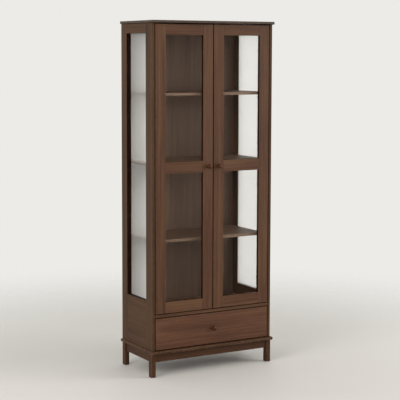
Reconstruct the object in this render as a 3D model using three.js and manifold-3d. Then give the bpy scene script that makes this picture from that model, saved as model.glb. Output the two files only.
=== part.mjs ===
// A tall, narrow china cabinet on a low base: two glazed doors above one wide drawer, glazed sides,
// three shelves. Millimetres, +Z up, the front faces -Y, and the origin is on the floor under the
// middle of the base plate.
import * as THREE from 'three';
import { RoundedBoxGeometry } from 'three/addons/geometries/RoundedBoxGeometry.js';
import { mergeVertices } from 'three/addons/utils/BufferGeometryUtils.js';
import Module from 'manifold-3d';

const wasm = await Module();
wasm.setup();

// ---- driving dimensions ---------------------------------------------------------------------

// the body, from its outer faces
const bodyWidth = 772;
const bodyDepth = 375;
const legHeight = 132;
const basePlateThickness = 17;
const drawerOpeningHeight = 185;
const floorThickness = 17;
const doorOpeningHeight = 1603;
const topPlateThickness = 16;

// the two moulded plates, past the body's faces
const topPlateSideReach = 7;
const topPlateFrontReach = 20;
const basePlateSideReach = 10;
const basePlateFrontReach = 22;
const plateNose = 6;          // radius of the plates' rounded edges
const plateCorner = 9;        // radius of their front corners seen from above

// the base
const legSideInset = 5;       // the legs' outer faces, in from the base plate's edges
const legFrontInset = 22;
const legRearInset = 9;
const legWidth = 28;
const legDepth = 35;
const apronHeight = 48;
const apronThickness = 16;
const apronSetback = 8;       // behind the legs' outer faces

// the side frames
const sideThickness = 31;
const lipThickness = 16.5;    // what is left of the front stile beside the doors
const frontStileWidth = 75;
const rearStileWidth = 67;
const sideTopRailWidth = 53;
const sideLowerPanelHeight = 273;

// the doors
const doorThickness = 22;
const doorStileWidth = 64;
const doorTopRailWidth = 59;
const doorMiddleRailWidth = 66;
const doorBottomRailWidth = 65;
const doorMiddleRailRise = 808;   // from the door's lower edge to the middle rail's centre line
const stopGap = 1.5;              // behind a closed door
const centreGap = 5;              // between the two doors
const reveal = 4;                 // round each door and round the drawer front

// glass, held in rebates in the back of the frames
const glassThickness = 3;
const glassRebateWidth = 8;
const glassRebateDepth = 3.8;
const glassEdgeGap = 1;

// the doors' pivots: steel pins near the outer front corner of each hinge stile
const pivotInset = 6;         // from the stile's outer edge and from its front face
const pinRadius = 2.5;
const pinInDoor = 20;
const pinInFrame = 11;
const collarRadius = 5;

// shelves
const shelfThickness = 16;
const shelfSetback = 30;          // the shelves' front edges, behind the body's front
const bottomShelfRise = 412;      // from the cabinet floor to the top of the loose shelves
const topShelfRise = 1223.5;
const middleShelfOffset = 28;     // its top, above the centre line of the doors' middle rails
const shelfEndGap = 1;
const shelfRearGap = 2;
const housingDepth = 8;           // the middle shelf is let this deep into the side stiles
const wireRadius = 1.5;
const wireStandoff = 5;           // from the side frame's inner face to the wire's centre line
const wireHoleDepth = 12;
const wireEndInset = 24;          // from the glass edge of a stile to the wire's hole

// the back
const backThickness = 4;
const backRebateDepth = 6;
const backRebateWidth = 10;
const backEdgeGap = 1;

// the drawer
const drawerFrontThickness = 20;
const drawerRearGap = 24.3;       // between the drawer and the back panel
const drawerSideHeight = 140;
const drawerSideThickness = 14;
const drawerBackThickness = 14;
const drawerLift = 9;             // the drawer box above the base plate
const drawerSideGap = 3;
const drawerBottomThickness = 4;
const drawerBottomRise = 8;
const drawerGrooveDepth = 5;
const runnerWidth = 10;
const runnerHeight = 16;
const runnerRise = 62;            // above the lower edge of the drawer side
const runnerGrooveDepth = 8;
const runnerFrontGap = 8;
const runnerRearGap = 6;

// turned wooden knobs with a tenon
const knobRadius = 13.5;
const knobReach = 25;
const knobNeckRadius = 7;
const knobFootRadius = 9.5;
const tenonRadius = 4;
const tenonLength = 11;
const knobFromDoorEdge = 30;

// the catch under the top plate, which both doors close against
const catchWidth = 60;
const catchDepth = 14;
const catchHeight = 15;

// fits
const seam = 0.3;             // between pieces that touch
const ease = 1.5;             // softened edges of the boards
const finePlane = 0.6;        // softened edges of glass and thin boards
const turnedFacets = 20;
const boreFacets = 12;
const wireFacets = 8;

// ---- levels and faces that follow from them ------------------------------------------------------

const basePlateTop = legHeight + basePlateThickness;
const floorUnderside = basePlateTop + drawerOpeningHeight;
const floorTop = floorUnderside + floorThickness;
const topUnderside = floorTop + doorOpeningHeight;
const topOfCabinet = topUnderside + topPlateThickness;

const outerX = bodyWidth / 2;
const innerX = outerX - sideThickness;
const lipX = outerX - lipThickness;
const rearY = (bodyDepth + basePlateFrontReach) / 2;
const frontY = rearY - bodyDepth;

const frontRebateY = frontY + doorThickness + stopGap;
const backRebateY = rearY - backRebateDepth;
const backFrontY = backRebateY + seam;
const sideOpeningFrontY = frontY + frontStileWidth;
const sideOpeningRearY = rearY - rearStileWidth;
const sideOpeningBottom = basePlateTop + sideLowerPanelHeight;
const sideOpeningTop = topUnderside - sideTopRailWidth;

const doorEdgeX = lipX - reveal;
const doorBottom = floorTop + reveal;
const doorTop = topUnderside - reveal;
const pivotX = doorEdgeX - pivotInset;
const pivotY = frontY + pivotInset;
const middleRailCentre = doorBottom + doorMiddleRailRise;
const middleRailBottom = middleRailCentre - doorMiddleRailWidth / 2;
const middleRailTop = middleRailCentre + doorMiddleRailWidth / 2;

// ---- materials -----------------------------------------------------------------------------------

const wood = (color) => new THREE.MeshStandardMaterial({ color, roughness: 0.55, metalness: 0 });
const steel = (color) => new THREE.MeshStandardMaterial({ color, roughness: 0.4, metalness: 1 });
const glass = (color, opacity, roughness) =>
  new THREE.MeshStandardMaterial({ color, opacity, roughness, metalness: 0, transparent: true });

const doorWood = wood('#65473a');
const sideWood = wood('#5a4839');
const plateWood = wood('#5e473a');
const drawerWood = wood('#5c4032');
const insideWood = wood('#4b3c33');
const knobWood = wood('#4a2c1f');
const backBoard = wood('#453931');
const drawerBoxWood = wood('#a98a66');
const pinSteel = steel('#8d8a86');
const catchPlastic = new THREE.MeshStandardMaterial({ color: '#2b2624', roughness: 0.6, metalness: 0 });
const clearGlass = glass('#dfe6e4', 0.2, 0.05);
const satinGlass = glass('#d8dad6', 0.75, 0.5);

// ---- making solids -------------------------------------------------------------------------------

/** An upright box from its ranges along x, y and z; the two ends of a range may come in any order. */
function block(x, y, z) {
  const corner = (pick) => new THREE.Vector3(pick(...x), pick(...y), pick(...z));
  return new THREE.Box3(corner(Math.min), corner(Math.max));
}

/** A closed manifold-3d solid of a three.js geometry, moved by an offset. */
function solidOf(geometry, offset = new THREE.Vector3()) {
  const plain = geometry.clone().translate(offset.x, offset.y, offset.z);
  plain.deleteAttribute('normal');
  plain.deleteAttribute('uv');
  const merged = mergeVertices(plain, 1e-4);
  return new wasm.Manifold(new wasm.Mesh({
    numProp: 3,
    vertProperties: Float32Array.from(merged.attributes.position.array),
    triVerts: Uint32Array.from(merged.index.array),
  }));
}

/** The three.js geometry of a manifold-3d solid. */
function geometryOf(solid) {
  const { vertProperties, triVerts } = solid.getMesh();
  const geometry = new THREE.BufferGeometry();
  geometry.setAttribute('position', new THREE.BufferAttribute(Float32Array.from(vertProperties), 3));
  geometry.setIndex(new THREE.BufferAttribute(Uint32Array.from(triVerts), 1));
  geometry.computeVertexNormals();
  return geometry;
}

/** A board with softened edges that fills a box, made about the box's centre. */
function boardGeometry(box, radius) {
  const size = box.getSize(new THREE.Vector3());
  return new RoundedBoxGeometry(size.x, size.y, size.z, 1, radius);
}

/** A sharp box as a cutting tool, in the coordinates of a piece centred on `centre`. */
function cutter(box, centre) {
  const size = box.getSize(new THREE.Vector3());
  const place = box.getCenter(new THREE.Vector3()).sub(centre);
  return solidOf(new THREE.BoxGeometry(size.x, size.y, size.z), place);
}

/** A round cutting tool from a start point along a direction, in the same coordinates. */
function drill(start, direction, radius, depth, centre) {
  const rod = new THREE.CylinderGeometry(radius, radius, depth, boreFacets);
  const turn = new THREE.Quaternion().setFromUnitVectors(new THREE.Vector3(0, 1, 0), direction);
  rod.applyQuaternion(turn);
  return solidOf(rod, start.clone().addScaledVector(direction, depth / 2).sub(centre));
}

/** A named mesh placed at `centre`, both given in the cabinet's coordinates. */
function placed(name, geometry, material, centre) {
  const mesh = new THREE.Mesh(geometry, material.clone());
  mesh.name = name;
  mesh.position.copy(centre);
  return mesh;
}

/** A board that fills a box, less any cuts; each hole is [start, direction, radius, depth]. */
function board(name, material, box, { cuts = [], holes = [], radius = ease } = {}) {
  const centre = box.getCenter(new THREE.Vector3());
  const plain = boardGeometry(box, radius);
  if (cuts.length + holes.length === 0) return placed(name, plain, material, centre);
  let solid = solidOf(plain);
  for (const cut of cuts) solid = solid.subtract(cutter(cut, centre));
  for (const [start, direction, size, depth] of holes) {
    solid = solid.subtract(drill(start, direction, size, depth, centre));
  }
  return placed(name, geometryOf(solid), material, centre);
}

/** Adds meshes given in the cabinet's coordinates to a group that has its own origin. */
function assemble(group, meshes) {
  for (const mesh of meshes) {
    mesh.position.sub(group.position);
    group.add(mesh);
  }
  return group;
}

const up = new THREE.Vector3(0, 0, 1);
const down = new THREE.Vector3(0, 0, -1);
const backwards = new THREE.Vector3(0, 1, 0);
const past = 5;               // how far a cutting tool runs beyond the piece it cuts
const sides = [['left', -1], ['right', 1]];

// ---- the plates ----------------------------------------------------------------------------------

/** A plate seen from above: square at the back, rounded front corners. */
function plateOutline(halfWidth, depth) {
  const shape = new THREE.Shape();
  shape.moveTo(-halfWidth, depth);
  shape.lineTo(-halfWidth, plateCorner);
  shape.absarc(-halfWidth + plateCorner, plateCorner, plateCorner, Math.PI, 1.5 * Math.PI);
  shape.lineTo(halfWidth - plateCorner, 0);
  shape.absarc(halfWidth - plateCorner, plateCorner, plateCorner, 1.5 * Math.PI, 2 * Math.PI);
  shape.lineTo(halfWidth, depth);
  return shape;
}

/** A plate with a rounded nose on its front and sides and a flat sawn back. */
function plate(name, z, thickness, sideReach, frontReach, holes = []) {
  const depth = bodyDepth + frontReach;
  const halfWidth = outerX + sideReach;
  const geometry = new THREE.ExtrudeGeometry(plateOutline(halfWidth, depth + 2 * plateNose), {
    depth: thickness - 2 * plateNose,
    bevelThickness: plateNose,
    bevelSize: plateNose,
    bevelOffset: -plateNose,
    bevelSegments: 3,
    curveSegments: 4,
  });
  const centre = new THREE.Vector3(0, rearY - depth / 2, z + thickness / 2);
  const ahead = new THREE.Vector3(0, -depth / 2, plateNose - thickness / 2);
  const sawn = block([-halfWidth - past, halfWidth + past], [rearY, rearY + 3 * plateNose],
    [z - past, z + thickness + past]);
  let solid = solidOf(geometry, ahead).subtract(cutter(sawn, centre));
  for (const [start, direction, size, length] of holes) {
    solid = solid.subtract(drill(start, direction, size, length, centre));
  }
  return placed(name, geometryOf(solid), plateWood, centre);
}

/** The bores that the doors' pivot pins turn in, from a face at height z. */
function pivotBores(z, direction) {
  return sides.map(([, side]) => [
    new THREE.Vector3(side * pivotX, pivotY, z).addScaledVector(direction, -past),
    direction, pinRadius + seam, pinInFrame + seam + past,
  ]);
}

// ---- the base ------------------------------------------------------------------------------------

const legOuterX = outerX + basePlateSideReach - legSideInset;
const legFrontY = frontY - basePlateFrontReach + legFrontInset;
const legRearY = rearY - legRearInset;
const legTop = legHeight - seam;

function leg(name, side, front) {
  const x = [side * legOuterX, side * (legOuterX - legWidth)];
  const y = front ? [legFrontY, legFrontY + legDepth] : [legRearY - legDepth, legRearY];
  return board(name, plateWood, block(x, y, [0, legTop]), { radius: 2 * ease });
}

function aprons() {
  const z = [legHeight - apronHeight, legTop];
  const betweenLegsX = legOuterX - legWidth - seam;
  const betweenLegsY = [legFrontY + legDepth + seam, legRearY - legDepth - seam];
  const frontFace = legFrontY + apronSetback;
  const rearFace = legRearY - apronSetback;
  const x = [-betweenLegsX, betweenLegsX];
  const long = [
    board('front_apron', plateWood, block(x, [frontFace, frontFace + apronThickness], z)),
    board('rear_apron', plateWood, block(x, [rearFace - apronThickness, rearFace], z)),
  ];
  const short = sides.map(([name, side]) => {
    const outer = legOuterX - apronSetback;
    const across = [side * outer, side * (outer - apronThickness)];
    return board(`${name}_apron`, plateWood, block(across, betweenLegsY, z));
  });
  return [...long, ...short];
}

// ---- the glazed side frames ----------------------------------------------------------------------

const wireFrontY = sideOpeningFrontY - wireEndInset;
const wireRearY = sideOpeningRearY + wireEndInset;
const wireDrop = shelfThickness / 2;

const shelfTops = {
  top_shelf: floorTop + topShelfRise,
  middle_shelf: middleRailCentre + middleShelfOffset,
  bottom_shelf: floorTop + bottomShelfRise,
};
const wiredShelves = ['top_shelf', 'bottom_shelf'];
const shelfFrontY = frontY + shelfSetback;
const shelfRearY = backFrontY - shelfRearGap;

/** The space that the middle shelf's end needs in the side frames. */
function housing(side) {
  const top = shelfTops.middle_shelf;
  return block([side * (innerX - past), side * (innerX + housingDepth)], [shelfFrontY - seam, shelfRearY + seam],
    [top - shelfThickness - seam, top + seam]);
}

/** Holes for the ends of the shelf wires in a side stile. */
function wireHoles(side, y) {
  const outwards = new THREE.Vector3(side, 0, 0);
  return wiredShelves.map((shelf) => [
    new THREE.Vector3(side * (innerX - past), y, shelfTops[shelf] - wireDrop),
    outwards, wireRadius + seam, wireHoleDepth + past,
  ]);
}

/** A rail of a side frame: its ends lap over the stiles' glass rebates. */
function sideRail(name, side, z, rebateZ) {
  const lap = glassRebateWidth - seam;
  const y = [sideOpeningFrontY - lap, sideOpeningRearY + lap];
  const proud = [side * (innerX + glassRebateDepth - seam), side * (outerX + past)];
  const shoulders = [
    block(proud, [y[0] - past, sideOpeningFrontY + seam], [z[0] - past, z[1] + past]),
    block(proud, [sideOpeningRearY - seam, y[1] + past], [z[0] - past, z[1] + past]),
  ];
  const rebate = block([side * (innerX - past), side * (innerX + glassRebateDepth)],
    [y[0] - past, y[1] + past], rebateZ);
  return board(name, sideWood, block([side * innerX, side * outerX], y, z), { cuts: [...shoulders, rebate] });
}

function sideFrame([name, side]) {
  const x = [side * innerX, side * outerX];
  const z = [basePlateTop + seam, topUnderside - seam];
  const allZ = [z[0] - past, z[1] + past];
  const glassRebateX = [side * (innerX - past), side * (innerX + glassRebateDepth)];
  const doorRebate = block([side * (innerX - past), side * lipX], [frontY - past, frontRebateY], allZ);
  const frontGlassRebate = block(glassRebateX,
    [sideOpeningFrontY - glassRebateWidth, sideOpeningFrontY + past], allZ);
  const rearGlassRebate = block(glassRebateX,
    [sideOpeningRearY - past, sideOpeningRearY + glassRebateWidth], allZ);
  const backRebate = block([side * (innerX - past), side * (innerX + backRebateWidth)],
    [backRebateY, rearY + past], allZ);
  const glassX = innerX + glassRebateDepth - seam;
  const overlap = glassRebateWidth - glassEdgeGap;
  return [
    board(`${name}_front_stile`, sideWood, block(x, [frontY, sideOpeningFrontY], z),
      { cuts: [doorRebate, frontGlassRebate, housing(side)], holes: wireHoles(side, wireFrontY) }),
    board(`${name}_rear_stile`, sideWood, block(x, [sideOpeningRearY, rearY], z),
      { cuts: [rearGlassRebate, backRebate, housing(side)], holes: wireHoles(side, wireRearY) }),
    sideRail(`${name}_side_top_rail`, side, [sideOpeningTop, topUnderside - seam],
      [sideOpeningTop - past, sideOpeningTop + glassRebateWidth]),
    sideRail(`${name}_side_lower_panel`, side, [basePlateTop + seam, sideOpeningBottom],
      [sideOpeningBottom - glassRebateWidth, sideOpeningBottom + past]),
    board(`${name}_side_glass`, satinGlass, block([side * (glassX - glassThickness), side * glassX],
      [sideOpeningFrontY - overlap, sideOpeningRearY + overlap],
      [sideOpeningBottom - overlap, sideOpeningTop + overlap]), { radius: finePlane }),
  ];
}

// ---- boards inside the body ----------------------------------------------------------------------

function insideBoards() {
  const dividerX = lipX - seam;
  const dividerRearY = frontRebateY - seam;
  const floorX = innerX - seam;
  const backX = innerX + backRebateWidth - backEdgeGap;
  return [
    board('divider_rail', doorWood,
      block([-dividerX, dividerX], [frontY, dividerRearY], [floorUnderside, floorTop]),
      { holes: pivotBores(floorTop, down) }),
    board('cabinet_floor', insideWood,
      block([-floorX, floorX], [dividerRearY + seam, backFrontY - seam], [floorUnderside, floorTop])),
    board('back_panel', backBoard,
      block([-backX, backX], [backFrontY, backFrontY + backThickness],
        [basePlateTop + backEdgeGap, topUnderside - backEdgeGap]), { radius: finePlane }),
  ];
}

function doorCatch() {
  const face = frontY + doorThickness + stopGap / 2;
  return board('door_catch', catchPlastic,
    block([-catchWidth / 2, catchWidth / 2], [face, face + catchDepth],
      [topUnderside - seam - catchHeight, topUnderside - seam]));
}

// ---- shelves -------------------------------------------------------------------------------------

/** A loose shelf with a kerf in each end that slides over its wire, open to the back. */
function looseShelf(name) {
  const halfLength = innerX - shelfEndGap;
  const top = shelfTops[name];
  const kerfHalf = wireRadius + seam;
  const kerfs = sides.map(([, side]) => block(
    [side * (innerX - wireStandoff - kerfHalf), side * (halfLength + past)],
    [wireFrontY - kerfHalf, shelfRearY + past],
    [top - wireDrop - kerfHalf, top - wireDrop + kerfHalf]));
  return board(name, insideWood, block([-halfLength, halfLength], [shelfFrontY, shelfRearY],
    [top - shelfThickness, top]), { cuts: kerfs });
}

/** The fixed middle shelf: its ends are let into the side stiles, clear of the side glass. */
function middleShelf() {
  const halfLength = innerX + housingDepth - seam;
  const top = shelfTops.middle_shelf;
  const z = [top - shelfThickness - past, top + past];
  const clearOfGlass = sides.map(([, side]) => block([side * (innerX - seam), side * (halfLength + past)],
    [sideOpeningFrontY - glassRebateWidth, sideOpeningRearY + glassRebateWidth], z));
  return board('middle_shelf', insideWood, block([-halfLength, halfLength],
    [shelfFrontY, shelfRearY], [top - shelfThickness, top]), { cuts: clearOfGlass });
}

/** A steel wire with both ends turned into a side frame's front and rear stiles. */
function shelfWire(shelf, [name, side]) {
  const run = side * (innerX - wireStandoff);
  const end = side * (innerX + wireHoleDepth - seam);
  const centre = new THREE.Vector3(run, (wireFrontY + wireRearY) / 2, shelfTops[shelf] - wireDrop);
  const rod = (from, to) => {
    const along = to.clone().sub(from);
    const geometry = new THREE.CylinderGeometry(wireRadius, wireRadius, along.length(), wireFacets);
    geometry.applyQuaternion(new THREE.Quaternion().setFromUnitVectors(
      new THREE.Vector3(0, 1, 0), along.normalize()));
    return solidOf(geometry, from.clone().add(to).divideScalar(2).sub(centre));
  };
  const bends = [wireFrontY, wireRearY].map((y) => new THREE.Vector3(run, y, centre.z));
  let solid = rod(...bends);
  for (const bend of bends) {
    const round = new THREE.SphereGeometry(wireRadius, wireFacets, wireFacets - 2);
    solid = solid.add(solidOf(round, bend.clone().sub(centre)));
    solid = solid.add(rod(bend, bend.clone().setX(end)));
  }
  return placed(`${shelf}_wire_${name}`, geometryOf(solid), pinSteel, centre);
}

// ---- knobs and pivots ----------------------------------------------------------------------------

/** A turned knob with its tenon, its axis along +Y and its foot at the origin. */
function knobGeometry() {
  const profile = new THREE.Path();
  profile.moveTo(0, tenonLength);
  profile.lineTo(tenonRadius, tenonLength);
  profile.lineTo(tenonRadius, -seam);
  profile.lineTo(knobFootRadius, -seam);
  profile.quadraticCurveTo(knobNeckRadius, -0.12 * knobReach, knobNeckRadius, -0.34 * knobReach);
  profile.bezierCurveTo(knobNeckRadius, -0.46 * knobReach, knobRadius, -0.42 * knobReach,
    knobRadius, -0.68 * knobReach);
  profile.bezierCurveTo(knobRadius, -0.9 * knobReach, 0.5 * knobRadius, -knobReach, 0, -knobReach);
  return new THREE.LatheGeometry(profile.getPoints(4).reverse(), turnedFacets);
}

function knob(name, x, z) {
  return placed(name, knobGeometry(), knobWood, new THREE.Vector3(x, frontY, z));
}

/** The hole that a knob's tenon is glued into. */
function tenonHole(x, z) {
  return [new THREE.Vector3(x, frontY - past, z), backwards, tenonRadius + seam, tenonLength + seam + past];
}

/** A pivot pin with the collar that carries the door, turned on its own axis; +Y points to the frame. */
function pivotGeometry() {
  const collarHalf = reveal / 2 - seam;
  const profile = [
    [0, -collarHalf - seam - pinInDoor], [pinRadius, -collarHalf - seam - pinInDoor],
    [pinRadius, -collarHalf], [collarRadius, -collarHalf], [collarRadius, collarHalf],
    [pinRadius, collarHalf], [pinRadius, collarHalf + seam + pinInFrame], [0, collarHalf + seam + pinInFrame],
  ].map(([radius, height]) => new THREE.Vector2(radius, height));
  return new THREE.LatheGeometry(profile, boreFacets);
}

function pivot(name, side, atTop) {
  const z = atTop ? doorTop + reveal / 2 : doorBottom - reveal / 2;
  const pin = placed(name, pivotGeometry(), pinSteel, new THREE.Vector3(side * pivotX, pivotY, z));
  pin.rotation.x = atTop ? Math.PI / 2 : -Math.PI / 2;
  return pin;
}

/** The holes that hold the pivot pins in the two ends of a hinge stile. */
function pinHoles(side) {
  const radius = pinRadius + seam;
  const depth = pinInDoor + 2 * seam + past;
  return [
    [new THREE.Vector3(side * pivotX, pivotY, doorTop + past), down, radius, depth],
    [new THREE.Vector3(side * pivotX, pivotY, doorBottom - past), up, radius, depth],
  ];
}

// ---- the doors -----------------------------------------------------------------------------------

const doorBackY = frontY + doorThickness;
const doorInnerX = centreGap / 2;
const doorOpeningOuterX = doorEdgeX - doorStileWidth;
const doorOpeningInnerX = doorInnerX + doorStileWidth;

/** An upright of a door, with the glass rebate along its opening side. */
function doorStile(name, side, x, openingX, holes) {
  const inwards = Math.sign(openingX - (x[0] + x[1]) / 2);
  const rebate = block([side * (openingX - inwards * glassRebateWidth), side * (openingX + inwards * past)],
    [doorBackY - glassRebateDepth, doorBackY + past], [doorBottom - past, doorTop + past]);
  return board(name, doorWood,
    block([side * x[0], side * x[1]], [frontY, doorBackY], [doorBottom, doorTop]),
    { cuts: [rebate], holes });
}

/** A rail of a door: its ends lap over the stiles' glass rebates. */
function doorRail(name, side, z, rebates) {
  const lap = glassRebateWidth - seam;
  const x = [doorOpeningInnerX - lap, doorOpeningOuterX + lap];
  const proudY = [frontY - past, doorBackY - glassRebateDepth + seam];
  const allZ = [z[0] - past, z[1] + past];
  const cuts = [
    block([side * (x[0] - past), side * (doorOpeningInnerX + seam)], proudY, allZ),
    block([side * (doorOpeningOuterX - seam), side * (x[1] + past)], proudY, allZ),
  ];
  for (const rebateZ of rebates) {
    cuts.push(block([side * (x[0] - past), side * (x[1] + past)],
      [doorBackY - glassRebateDepth, doorBackY + past], rebateZ));
  }
  return board(name, doorWood, block([side * x[0], side * x[1]], [frontY, doorBackY], z), { cuts });
}

function doorPane(name, side, z) {
  const overlap = glassRebateWidth - glassEdgeGap;
  const face = doorBackY - glassRebateDepth + seam;
  return board(name, clearGlass,
    block([side * (doorOpeningInnerX - overlap), side * (doorOpeningOuterX + overlap)],
      [face, face + glassThickness], [z[0] - overlap, z[1] + overlap]), { radius: finePlane });
}

/** A door: its group's origin is on its pivot axis. */
function door([name, side]) {
  const above = (z) => [z - glassRebateWidth, z + past];
  const below = (z) => [z - past, z + glassRebateWidth];
  const lowerOpening = [doorBottom + doorBottomRailWidth, middleRailBottom];
  const upperOpening = [middleRailTop, doorTop - doorTopRailWidth];
  const knobX = side * (doorInnerX + knobFromDoorEdge);
  const group = new THREE.Group();
  group.position.set(side * pivotX, pivotY, 0);
  return assemble(group, [
    doorStile(`${name}_door_hinge_stile`, side, [doorOpeningOuterX, doorEdgeX], doorOpeningOuterX,
      pinHoles(side)),
    doorStile(`${name}_door_meeting_stile`, side, [doorInnerX, doorOpeningInnerX], doorOpeningInnerX,
      [tenonHole(knobX, middleRailCentre)]),
    doorRail(`${name}_door_top_rail`, side, [upperOpening[1], doorTop], [below(upperOpening[1])]),
    doorRail(`${name}_door_middle_rail`, side, [middleRailBottom, middleRailTop],
      [below(middleRailBottom), above(middleRailTop)]),
    doorRail(`${name}_door_bottom_rail`, side, [doorBottom, lowerOpening[0]], [above(lowerOpening[0])]),
    doorPane(`${name}_door_upper_glass`, side, upperOpening),
    doorPane(`${name}_door_lower_glass`, side, lowerOpening),
    knob(`${name}_door_knob`, knobX, middleRailCentre),
    pivot(`${name}_door_top_pivot`, side, true),
    pivot(`${name}_door_bottom_pivot`, side, false),
  ]);
}

// ---- the drawer ----------------------------------------------------------------------------------

const drawerFrontBottom = basePlateTop + reveal;
const drawerFrontTop = floorUnderside - reveal;
const drawerFrontBackY = frontY + drawerFrontThickness;
const drawerBoxBottom = basePlateTop + drawerLift;
const drawerBoxTop = drawerBoxBottom + drawerSideHeight;
const drawerBoxX = innerX - drawerSideGap;
const drawerInnerX = drawerBoxX - drawerSideThickness;
const drawerRearY = backFrontY - drawerRearGap;
const bottomGrooveZ = drawerBoxBottom + drawerBottomRise;
const runnerBottom = drawerBoxBottom + runnerRise;

function drawerSide([name, side]) {
  const y = [drawerFrontBackY + seam, drawerRearY];
  const allY = [y[0] - past, y[1] + past];
  const runnerGroove = block([side * (drawerBoxX - runnerGrooveDepth), side * (drawerBoxX + past)], allY,
    [runnerBottom - 2 * seam, runnerBottom + runnerHeight + seam]);
  const bottomGroove = block([side * (drawerInnerX - past), side * (drawerInnerX + drawerGrooveDepth)], allY,
    [bottomGrooveZ - seam, bottomGrooveZ + drawerBottomThickness + seam]);
  return board(`drawer_${name}_side`, drawerBoxWood,
    block([side * drawerInnerX, side * drawerBoxX], y, [drawerBoxBottom, drawerBoxTop]),
    { cuts: [runnerGroove, bottomGroove] });
}

function drawer() {
  const frontX = lipX - reveal;
  const bottomX = drawerInnerX + drawerGrooveDepth - seam;
  const bottomFrontY = drawerFrontBackY - drawerGrooveDepth + seam;
  const knobZ = (drawerFrontBottom + drawerFrontTop) / 2;
  const frontGroove = block([-bottomX - seam, bottomX + seam],
    [drawerFrontBackY - drawerGrooveDepth, drawerFrontBackY + past],
    [bottomGrooveZ - seam, bottomGrooveZ + drawerBottomThickness + seam]);
  const group = new THREE.Group();
  group.position.set(0, frontY, drawerFrontBottom);
  return assemble(group, [
    board('drawer_front', drawerWood,
      block([-frontX, frontX], [frontY, drawerFrontBackY], [drawerFrontBottom, drawerFrontTop]),
      { cuts: [frontGroove], holes: [tenonHole(0, knobZ)] }),
    ...sides.map(drawerSide),
    board('drawer_back', drawerBoxWood,
      block([-drawerInnerX + seam, drawerInnerX - seam], [drawerRearY - drawerBackThickness, drawerRearY],
        [bottomGrooveZ + drawerBottomThickness + seam, drawerBoxTop])),
    board('drawer_bottom', drawerBoxWood,
      block([-bottomX, bottomX], [bottomFrontY, drawerRearY],
        [bottomGrooveZ, bottomGrooveZ + drawerBottomThickness]), { radius: finePlane }),
    knob('drawer_knob', 0, knobZ),
  ]);
}

/** A hardwood runner on a side frame, in the groove of the drawer side. */
function runner([name, side]) {
  const outer = innerX - seam;
  return board(`${name}_drawer_runner`, drawerBoxWood,
    block([side * (outer - runnerWidth + seam), side * outer],
      [frontRebateY + runnerFrontGap, backFrontY - runnerRearGap], [runnerBottom, runnerBottom + runnerHeight]));
}

// ---- the cabinet ---------------------------------------------------------------------------------

const carcass = assemble(new THREE.Group(), [
  plate('top_plate', topUnderside, topPlateThickness, topPlateSideReach, topPlateFrontReach,
    pivotBores(topUnderside, up)),
  plate('base_plate', legHeight, basePlateThickness, basePlateSideReach, basePlateFrontReach),
  leg('leg_front_left', -1, true),
  leg('leg_front_right', 1, true),
  leg('leg_rear_left', -1, false),
  leg('leg_rear_right', 1, false),
  ...aprons(),
  ...sides.flatMap(sideFrame),
  ...insideBoards(),
  looseShelf('top_shelf'),
  middleShelf(),
  looseShelf('bottom_shelf'),
  ...wiredShelves.flatMap((shelf) => sides.map((side) => shelfWire(shelf, side))),
  ...sides.map(runner),
  doorCatch(),
]);

const cabinet = new THREE.Group();
cabinet.add(carcass, ...sides.map(door), drawer());

export default cabinet;
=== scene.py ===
# %% [markdown]
# # A tall china cabinet with glass doors
#
# The cabinet is a dark stained wooden case on a low base: two glazed doors over one wide drawer, a
# frosted pane in each side, three shelves and small turned knobs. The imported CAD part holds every
# piece at its real size and says what moves. This lesson gives those pieces their finish.
#
# Everything is in metres, Z points up and the front of the cabinet faces -Y.

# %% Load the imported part
import math

import bpy
import numpy as np
from mathutils import Matrix, Vector


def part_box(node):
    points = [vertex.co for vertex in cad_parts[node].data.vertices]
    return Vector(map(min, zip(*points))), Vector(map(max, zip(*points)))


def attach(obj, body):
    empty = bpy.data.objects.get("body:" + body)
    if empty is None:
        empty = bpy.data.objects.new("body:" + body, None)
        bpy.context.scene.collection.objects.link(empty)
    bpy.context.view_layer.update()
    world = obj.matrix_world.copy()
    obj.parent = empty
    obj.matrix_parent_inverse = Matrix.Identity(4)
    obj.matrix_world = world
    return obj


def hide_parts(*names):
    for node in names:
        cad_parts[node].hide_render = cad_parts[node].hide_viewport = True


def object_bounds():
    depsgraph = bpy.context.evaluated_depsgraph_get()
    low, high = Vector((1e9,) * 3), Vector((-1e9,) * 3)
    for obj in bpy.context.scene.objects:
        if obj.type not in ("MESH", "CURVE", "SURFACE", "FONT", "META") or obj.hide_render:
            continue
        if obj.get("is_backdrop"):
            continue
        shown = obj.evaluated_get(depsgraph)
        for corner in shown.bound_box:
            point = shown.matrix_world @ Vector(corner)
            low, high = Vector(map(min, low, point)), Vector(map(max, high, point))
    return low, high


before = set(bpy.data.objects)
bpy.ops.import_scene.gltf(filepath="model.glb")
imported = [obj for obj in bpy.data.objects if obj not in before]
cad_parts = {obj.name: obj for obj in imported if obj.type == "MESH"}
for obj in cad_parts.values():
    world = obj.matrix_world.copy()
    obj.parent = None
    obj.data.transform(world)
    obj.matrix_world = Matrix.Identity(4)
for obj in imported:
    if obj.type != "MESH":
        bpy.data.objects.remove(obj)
cad_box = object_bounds()
SIDES = (("left", -1), ("right", 1))
X, Y, Z = 0, 1, 2
MM = 0.001
print("CAD nodes:", len(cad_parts), "from", tuple(cad_box[0]), "to", tuple(cad_box[1]))
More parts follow.
